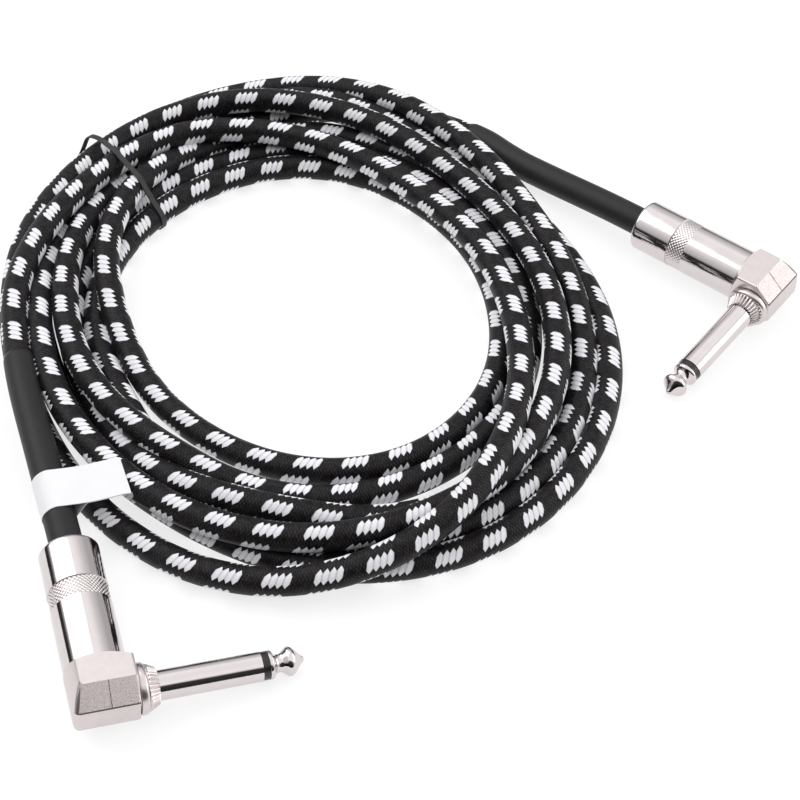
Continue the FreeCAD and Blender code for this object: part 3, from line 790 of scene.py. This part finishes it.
def tie(line):
    """A thin band round all the turns; it stands off in an arch at the coil's outer top.

    Its outer side leans by TIE_LEAN along the coil at the top and by TIE_FOOT at the bottom."""
    outward = Vector((math.cos(TIE_ANGLE), math.sin(TIE_ANGLE), 0))
    sideways = Vector((-outward.y, outward.x, 0))
    middle = Vector((*COIL_MIDDLE, 0)) * MM
    circles = []
    for first, second in zip(line, line[1:]):
        a, b = (first - middle).dot(sideways), (second - middle).dot(sideways)
        if a * b <= 0 and a != b and (first - middle).dot(outward) > 0:
            cross = first.lerp(second, a / (a - b)) - middle
            circles.append((cross.dot(outward) / MM, cross.z / MM))
    reach = CABLE_D / 2 + TIE_THICK / 2 + TIE_GAP
    rims = [(r + reach * math.cos(a), max(z + reach * math.sin(a), TIE_THICK / 2))
            for r, z in circles for a in np.radians(range(0, 360, 10))]
    loop = evenly([Vector((r, z, 0)) for r, z in hull(rims)], 160, True)
    centre = sum(loop, Vector()) / len(loop)
    span = max(point.x for point in loop) - min(point.x for point in loop)
    tall = max(point.y for point in loop) - min(point.y for point in loop)
    centres = []
    for point in loop:
        away = point - centre
        arch = math.exp(-((math.atan2(away.y, away.x) - TIE_ARCH_AT) / TIE_ARCH_WIDTH) ** 2)
        stand = point + away.normalized() * TIE_STAND_OFF * arch
        rise = min(max(0.5 + away.y / tall, 0.0), 1.0)
        lean = (TIE_LEAN * rise + TIE_FOOT * (1 - rise)) * (0.5 + away.x / span)
        centres.append(middle + (outward * stand.x + sideways * lean + Vector((0, 0, stand.y))) * MM)
    piece = ribbon("turn_tie", centres, [sideways] * len(centres), TIE_WIDTH * MM, TIE_THICK * MM, True)
    return add(piece, "tie_plastic", "cable_assembly", "cable_tie")


LABEL_AT = 52.5
LABEL_WIDTH = 10.9
LABEL_REACH = 16.3
LABEL_PLY = 0.17
LABEL_END_HIGH = 1.8
LABEL_JOINED = 1.75


def label(line):
    """A blank flag label: one strip round the sleeve, its two ends stuck back to back."""
    lengths = line_lengths(line)
    at = (LABEL_AT - CABLE_START) * MM
    near = min(range(len(line)), key=lambda i: abs(lengths[i] - at))
    ahead = (line[near + 2] - line[near - 2]).normalized()
    side = ahead.cross(Vector((0, 0, 1))).normalized()
    up = side.cross(ahead)
    wrap = SLEEVE_D / 2 + SLEEVE_GAP + LABEL_PLY / 2
    joined = LABEL_JOINED * wrap

    def top_leaf(s):
        """Height of the upper leaf above the cable's axis."""
        share = s / LABEL_REACH
        sag = 0.25 * math.sin(math.pi * min(share * 1.1, 1.0))
        return wrap * (1 - sag) + (LABEL_END_HIGH - wrap) * share ** 2

    top = [(s, top_leaf(s)) for s in np.linspace(LABEL_REACH, 0.0, 30)]
    turn = [(wrap * math.cos(a), wrap * math.sin(a)) for a in np.radians(np.linspace(95, 322, 40))]
    climb = [(turn[-1][0] + (joined - turn[-1][0]) * f,
              turn[-1][1] + (top_leaf(joined) - LABEL_PLY - turn[-1][1]) * f ** 0.9)
             for f in np.linspace(0.1, 1.0, 12)]
    under = [(s, top_leaf(s) - LABEL_PLY) for s in np.linspace(joined, LABEL_REACH - 0.15, 26)[1:]]
    outline = [Vector((s, h, 0)) for s, h in top + turn + climb + under]
    centres = [line[near] + (side * point.x + up * point.y) * MM for point in evenly(outline, 150, False)]
    piece = ribbon("flag_label", centres, [ahead] * len(centres), LABEL_WIDTH * MM, LABEL_PLY * MM)
    return add(piece, "label_film", "cable_assembly", "cable_label")


cable = tube("braided_cable", line, lambda at: CABLE_D / 2 * MM, 36, twist)
add(cable, "woven_braid", "cable_assembly", "cable_lead_a", "cable_lead_b", "cable_coil")
sleeves = [sleeve_part("a", line), sleeve_part("b", line[::-1])]
rear_rim = plug_frame("a") @ Vector((0, BARREL_END * MM, 0))
sleeves + [tie(line), label(line)]

# ---- camera, floor and light -----------------------------------------------------------------

VIEW_POINT = Vector((-11.1, 18.4, 0.0)) * MM
VIEW_DISTANCE = 416.5
VIEW_ELEVATION = math.radians(46.29)
SENSOR_WIDTH = 36.0
LENS = 77.7
FLOOR_HALF = 1.5


def camera():
    data = bpy.data.cameras.new("camera")
    data.sensor_width = SENSOR_WIDTH
    data.lens = LENS
    seen_from = bpy.data.objects.new("camera", data)
    bpy.context.scene.collection.objects.link(seen_from)
    back = Vector((0, -math.cos(VIEW_ELEVATION), math.sin(VIEW_ELEVATION)))
    seen_from.location = VIEW_POINT + back * VIEW_DISTANCE * MM
    seen_from.rotation_euler = (math.pi / 2 - VIEW_ELEVATION, 0, 0)
    bpy.context.scene.camera = seen_from


def floor():
    """A plain white floor that glows a little, so that shadows on it stay faint."""
    half = FLOOR_HALF
    corners = [(-half, -half, 0), (half, -half, 0), (half, half, 0), (-half, half, 0)]
    ground = new_object("floor", corners, [(0, 1, 2, 3)])
    surface = Surface("floor", Roughness=0.9, Specular_IOR_Level=0.1, Emission_Strength=0.75)
    surface.colour((0.3, 0.3, 0.3))
    surface.feed(surface.shader.inputs["Emission Color"], (1.0, 1.0, 1.0))
    ground.data.materials.append(surface.material)


def lamp(name, place, aim, size, power):
    """A softbox: a large rectangular lamp that points at the object."""
    data = bpy.data.lights.new(name, "AREA")
    data.shape = "RECTANGLE"
    data.size, data.size_y = size
    data.energy = power
    holder = bpy.data.objects.new(name, data)
    bpy.context.scene.collection.objects.link(holder)
    holder.location = place
    holder.rotation_euler = (Vector(place) - Vector(aim)).to_track_quat("Z", "Y").to_euler()


# How bright the studio's walls are from bottom to top, and how its right and its front differ:
# (start, end, brightness before start, brightness after end)
WALL_BANDS = [(0.0, 0.02), (0.20, 0.03), (0.30, 0.42), (0.60, 0.65), (0.80, 0.95), (1.0, 0.85)]
RIGHT_WALL = (0.15, 0.5, 0.0, 0.42)
FRONT_WALL = (-0.64, -0.52, 0.08, 1.35)


def carried(tree, source, numbers):
    """The source's start..end carried to the two brightnesses."""
    made = tree.nodes.new("ShaderNodeMapRange")
    tree.links.new(source, made.inputs["Value"])
    for socket, number in zip(made.inputs[1:5], numbers):
        socket.default_value = number
    return made.outputs[0]


def surroundings():
    """A pale studio: bright above, a dark band low down and a dark front give the metal contrast."""
    world = bpy.data.worlds.new("studio")
    bpy.context.scene.world = world
    world.use_nodes = True
    tree = world.node_tree
    background = next(n for n in tree.nodes if n.type == "BACKGROUND")
    coordinates = tree.nodes.new("ShaderNodeTexCoord")
    split = tree.nodes.new("ShaderNodeSeparateXYZ")
    ramp = tree.nodes.new("ShaderNodeValToRGB")
    tree.links.new(coordinates.outputs["Generated"], split.inputs[0])
    tree.links.new(split.outputs["Z"], ramp.inputs[0])
    brighter = tree.nodes.new("ShaderNodeMath")
    brighter.operation = "MAXIMUM"
    tree.links.new(ramp.outputs[0], brighter.inputs[0])
    tree.links.new(carried(tree, split.outputs["X"], RIGHT_WALL), brighter.inputs[1])
    tree.links.new(brighter.outputs[0], background.inputs[0])
    stops = ramp.color_ramp.elements
    while len(stops) < len(WALL_BANDS):
        stops.new(0.5)
    for stop, (height, shade) in zip(stops, WALL_BANDS):
        stop.position = height
        stop.color = (shade, shade, shade, 1.0)
    tree.links.new(carried(tree, split.outputs["Y"], FRONT_WALL), background.inputs[1])


camera()
floor()
surroundings()
lamp("key", (-0.75, 0.45, 0.85), VIEW_POINT, (1.1, 1.1), 5.4)
lamp("wall", (1.17, 0.27, 0.42), VIEW_POINT, (1.3, 0.8), 5.4)
bpy.context.scene.view_settings.view_transform = "Standard"
